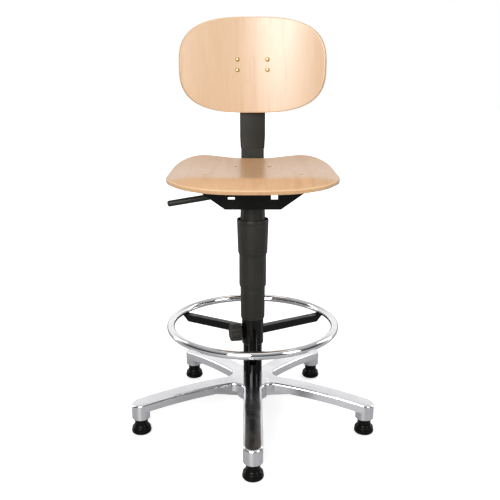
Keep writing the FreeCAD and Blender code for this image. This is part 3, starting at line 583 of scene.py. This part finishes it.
def telescopic_cover():
    """Three stages, each with a chamfered foot; the upper one is open at the top like a cup."""
    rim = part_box("cover_upper")[1][2]
    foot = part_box("cover_upper")[0][2]
    middle_foot, middle_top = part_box("cover_middle")[0][2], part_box("cover_middle")[1][2]
    lower_foot, lower_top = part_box("cover_lower")[0][2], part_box("cover_lower")[1][2]

    def stage(name, body, outline):
        made = turned(name, outline, steps=96)
        smooth(made, 28)
        finish_as(made, "black_plastic", "black_plastic", body, name.replace("stage", "cover"))

    outline = [(35.3 * MM, foot), (36.6 * MM, foot), (38.0 * MM, foot + 5 * MM)]
    outline += groove(38.2 * MM, foot + 13 * MM)
    outline += [(39.2 * MM, (foot + rim) / 2), (40.3 * MM, rim - 9 * MM), (39.9 * MM, rim - 8.4 * MM),
                (40.5 * MM, rim - 7.6 * MM), (40.5 * MM, rim - 1.2 * MM), (40.1 * MM, rim - 0.3 * MM),
                (39.6 * MM, rim), (39.0 * MM, rim - 0.3 * MM), (38.7 * MM, rim - 1.2 * MM),
                (38.6 * MM, rim - 7 * MM), (SPINDLE_HOLE, rim - 7 * MM), (SPINDLE_HOLE, rim - 10 * MM),
                (38.4 * MM, rim - 10 * MM), (36.2 * MM, foot + 6 * MM), (35.3 * MM, foot + 4 * MM)]
    stage("stage_upper", "seat_frame", outline)

    inside = MIDDLE_STAGE - COVER_WALL
    outline = [(32.3 * MM, middle_foot), (33.6 * MM, middle_foot), (MIDDLE_STAGE, middle_foot + 5 * MM)]
    outline += groove(MIDDLE_STAGE, middle_foot + 12 * MM)
    outline += groove(MIDDLE_STAGE, foot - 5 * MM)
    outline += [(MIDDLE_STAGE, middle_top), (inside, middle_top), (inside, middle_foot + 5 * MM),
                (32.3 * MM, middle_foot + 4 * MM)]
    stage("stage_middle", "cover_stage", outline)

    inside = LOWER_STAGE - COVER_WALL
    outline = [(28.5 * MM, lower_foot), (29.9 * MM, lower_foot), (31.3 * MM, lower_foot + 5 * MM)]
    outline += groove(31.4 * MM, lower_foot + 12 * MM)
    outline += [(31.9 * MM, middle_foot - 14 * MM)]
    outline += groove(LOWER_STAGE, middle_foot - 5 * MM)
    outline += [(LOWER_STAGE, lower_top), (inside, lower_top), (inside, lower_foot + 30 * MM),
                (28.5 * MM, lower_foot + 4 * MM)]
    stage("stage_lower", "base", outline)


def fluted_knob(name, node_name, body, outward, flutes=8):
    """A hand knob: a fluted grip with rounded shoulders and a recessed cap."""
    low, high = (Vector(corner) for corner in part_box(node_name))
    middle = (low + high) / 2
    radius = (high.z - low.z) / 2
    deselect()
    bpy.ops.mesh.primitive_circle_add(vertices=flutes * 16, radius=radius, fill_type="NGON")
    knob = started(name)
    for point in knob.data.vertices:
        bearing = math.atan2(point.co.y, point.co.x)
        valley = max(0.0, math.cos((bearing - math.pi / flutes) * flutes)) ** 2
        point.co = point.co * (1 - FLUTE_DEPTH * valley)
    edit(knob)
    bpy.ops.mesh.select_all(action="SELECT")
    bpy.ops.mesh.extrude_region_move(TRANSFORM_OT_translate={"value": (0, 0, KNOB_LENGTH - 3 * MM)})
    bpy.ops.transform.resize(value=(0.96, 0.96, 1))
    bpy.ops.mesh.extrude_region_move(TRANSFORM_OT_translate={"value": (0, 0, 2.2 * MM)})
    bpy.ops.transform.resize(value=(0.94, 0.94, 1))
    bpy.ops.mesh.extrude_region_move(TRANSFORM_OT_translate={"value": (0, 0, 0.8 * MM)})
    bpy.ops.transform.resize(value=(0.93, 0.93, 1))
    bpy.ops.mesh.inset(thickness=4.5 * MM, depth=0)
    bpy.ops.mesh.extrude_region_move(TRANSFORM_OT_translate={"value": (0, 0, -1.4 * MM)})
    bpy.ops.transform.resize(value=(0.94, 0.94, 1))
    edit_faces(knob, lambda face: face.center.z < 0.1 * MM)
    bpy.ops.mesh.inset(thickness=5 * MM, depth=0)
    leave()
    tidy_faces(knob)
    smooth(knob, 40)
    knob.rotation_mode = "QUATERNION"
    knob.rotation_quaternion = Vector(outward).to_track_quat("Z", "Y")
    knob.location = middle - Vector(outward) * (KNOB_LENGTH / 2)
    settle(knob)
    finish_as(knob, "black_plastic", "black_plastic", body, node_name)


def lever_grip():
    """The lever's moulded grip: a slim barrel with finger rings and a domed end."""
    low, high = (Vector(corner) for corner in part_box("lever_grip_sleeve"))
    girth = 8.0 * MM
    lean = LEVER_DROP / LEVER_RUN
    start = Vector((high.x - girth * lean / math.hypot(1, lean), 0, high.z - girth))
    along = Vector((-1, 0, -lean)).normalized()
    length = (high.x - low.x) * math.hypot(1, lean) - 2 * girth * lean
    outline = [(4.0 * MM, 0), (6.6 * MM, 0), (7.4 * MM, 0.6 * MM), (7.8 * MM, 2.2 * MM)]
    for ring in range(4):
        outline += groove(7.9 * MM, (9 + 4.5 * ring) * MM, 0.8 * MM, 0.45 * MM)
    outline += [(7.95 * MM, length * 0.55)]
    outline += arc((girth - 4.2 * MM, length - 4.2 * MM), 4.2 * MM, 0, 90, 6)
    outline += [(0, length), (0, length - 5 * MM), (4.0 * MM, length - 5 * MM)]
    grip = turned("lever_grip", outline, steps=40)
    smooth(grip, 32)
    grip.rotation_mode = "QUATERNION"
    grip.rotation_quaternion = along.to_track_quat("Z", "Y")
    grip.location = start
    settle(grip)
    finish_as(grip, "black_plastic", "black_plastic", "lever", "lever_grip_sleeve")


def back_sleeve():
    """The sleeve behind the seat back: an open box with a slightly crowned front and softened edges."""
    low, high = (Vector(corner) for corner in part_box("back_sleeve"))
    deselect()
    bpy.ops.mesh.primitive_cube_add(size=1, location=(low + high) / 2, scale=high - low)
    sleeve = started("sleeve_moulding")
    settle(sleeve)
    edit_faces(sleeve, lambda face: abs(face.normal.z) > 0.9)
    bpy.ops.mesh.delete(type="FACE")
    bpy.ops.mesh.select_all(action="SELECT")
    bpy.ops.mesh.subdivide(number_cuts=7)
    leave()
    half = (high.x - low.x) / 2
    crown, edge_in = 2.4 * MM, 1.6 * MM
    for point in sleeve.data.vertices:
        across = point.co.x / half
        if point.co.y < low.y + 0.1 * MM:
            point.co.y += crown * across ** 2
        if point.co.z < low.z + 0.1 * MM:
            point.co.x *= 1 - edge_in / half
            point.co.y += edge_in if point.co.y < (low.y + high.y) / 2 else -edge_in
    tidy_faces(sleeve)
    apply_modifier(sleeve, "BEVEL", width=3.2 * MM, segments=4, limit_method="ANGLE",
                   angle_limit=math.radians(50))
    apply_modifier(sleeve, "SOLIDIFY", thickness=SLEEVE_WALL, offset=-1, use_even_offset=True)
    smooth(sleeve, 32)
    finish_as(sleeve, "black_plastic", "black_plastic", "back_slide", "back_sleeve")


glides()
telescopic_cover()
fluted_knob("ring_hand_knob", "clamp_knob", "ring_handwheel",
            (math.cos(CLAMP_ANGLE), math.sin(CLAMP_ANGLE), 0))
fluted_knob("rear_hand_knob", "back_knob", "back_handwheel", (0, 1, 0))
lever_grip()
back_sleeve()


# ---------------------------------------------------------------- studio and camera

def softbox(name, place, aim, width, height, power):
    """A rectangular light, in watts, that looks at its aim."""
    lamp = bpy.data.lights.new(name, "AREA")
    lamp.shape = "RECTANGLE"
    lamp.size, lamp.size_y = width, height
    lamp.energy = power
    holder = bpy.data.objects.new(name, lamp)
    holder.location = place
    holder.rotation_euler = (Vector(aim) - Vector(place)).to_track_quat("-Z", "Y").to_euler()
    bpy.context.collection.objects.link(holder)


def white_floor():
    """A floor with a painted glow, seen by the camera only, that rises from dim under the stool to full
    white far off; the bright metals see the floor as grey.
    """
    floor_finish, tree, shader = material("studio_floor", (0.90, 0.90, 0.90), 0.55)
    shader.inputs["Emission Color"].default_value = (1, 1, 1, 1)
    away = node(tree, "VectorMath", operation="LENGTH")
    tree.links.new(stretched(tree, (0.25, 0.25, 0.25)), away.inputs[0])
    # Painted glow: emission seen by the camera only, dim near the stool and rising to full white further
    # out.
    painted_glow = ramp(tree, away.outputs["Value"], [(0.0, 0.42), (0.10, 0.48), (0.35, 0.80), (0.75, 1.0)])
    direct = node(tree, "LightPath").outputs["Is Camera Ray"]
    tree.links.new(arithmetic(tree, "MULTIPLY", painted_glow, direct), shader.inputs["Emission Strength"])
    paper = mixed(tree, direct, (0.40, 0.40, 0.41), (0.92, 0.92, 0.92))
    tree.links.new(paper, shader.inputs["Base Color"])
    soft = noise(tree, stretched(tree, (3, 3, 3)), 2.0)
    tree.links.new(ramp(tree, soft, [(0.3, 0.53), (0.7, 0.57)]), shader.inputs["Roughness"])
    deselect()
    bpy.ops.mesh.primitive_plane_add(size=30, location=(0, 0, cad_box[0][2] - 0.0002))
    floor = started("studio_floor")
    floor.data.materials.append(floor_finish)


def surroundings():
    """A white backdrop; the bright metals see a dark room in front and a white wall behind."""
    world = bpy.data.worlds.new("studio")
    bpy.context.scene.world = world
    world.use_nodes = True
    tree = world.node_tree
    tree.nodes.clear()
    seen = node(tree, "LightPath").outputs["Is Camera Ray"]
    direction = node(tree, "TexCoord").outputs["Generated"]
    parts = node(tree, "SeparateXYZ")
    tree.links.new(direction, parts.inputs["Vector"])
    upward = ramp(tree, parts.outputs["Z"], [(0.0, 0.02), (0.30, 0.05), (0.55, 0.30), (1.0, 0.60)])
    behind = ramp(tree, parts.outputs["Y"], [(0.0, 0.0), (0.12, 0.15), (0.35, 1.0)])
    low_down = ramp(tree, parts.outputs["Z"], [(0.0, 1.0), (0.42, 1.0), (0.70, 0.15)])
    backdrop_share = arithmetic(tree, "MULTIPLY", behind, low_down)
    around = mixed(tree, backdrop_share, upward, (1.0, 1.0, 1.0))
    reflected = node(tree, "Background", Strength=0.95)
    tree.links.new(around, reflected.inputs["Color"])
    backdrop = node(tree, "Background", Strength=1.0)
    backdrop.inputs["Color"].default_value = (1, 1, 1, 1)
    either = node(tree, "MixShader")
    tree.links.new(seen, either.inputs[0])
    tree.links.new(reflected.outputs[0], either.inputs[1])
    tree.links.new(backdrop.outputs[0], either.inputs[2])
    out = node(tree, "OutputWorld")
    tree.links.new(either.outputs[0], out.inputs["Surface"])


def lights():
    middle = (0, 0, 0.55)
    softbox("key", (-0.75, -2.45, 1.45), (0, 0, 0.80), 1.3, 1.3, 63)
    softbox("fill", (2.1, -1.7, 1.4), middle, 1.0, 1.6, 20)
    softbox("top", (0.1, 0.3, 2.9), middle, 2.0, 1.6, 8)
    softbox("strip_left", (-2.2, 0.9, 1.0), middle, 0.35, 2.2, 9)
    softbox("strip_right", (2.2, 0.9, 1.0), middle, 0.35, 2.2, 9)


def camera():
    lens = bpy.data.cameras.new("camera")
    lens.sensor_width = 36
    lens.lens = 49.17
    lens.shift_x = -0.0011
    lens.shift_y = -0.0051
    holder = bpy.data.objects.new("camera", lens)
    holder.location = (-0.0056, -1.7025, 0.9058)
    holder.rotation_euler = (math.radians(75.68), 0, 0)
    bpy.context.collection.objects.link(holder)
    bpy.context.scene.camera = holder


white_floor()
surroundings()
lights()
camera()
bpy.context.scene.view_settings.view_transform = "Standard"
bpy.context.scene.view_settings.look = "None"
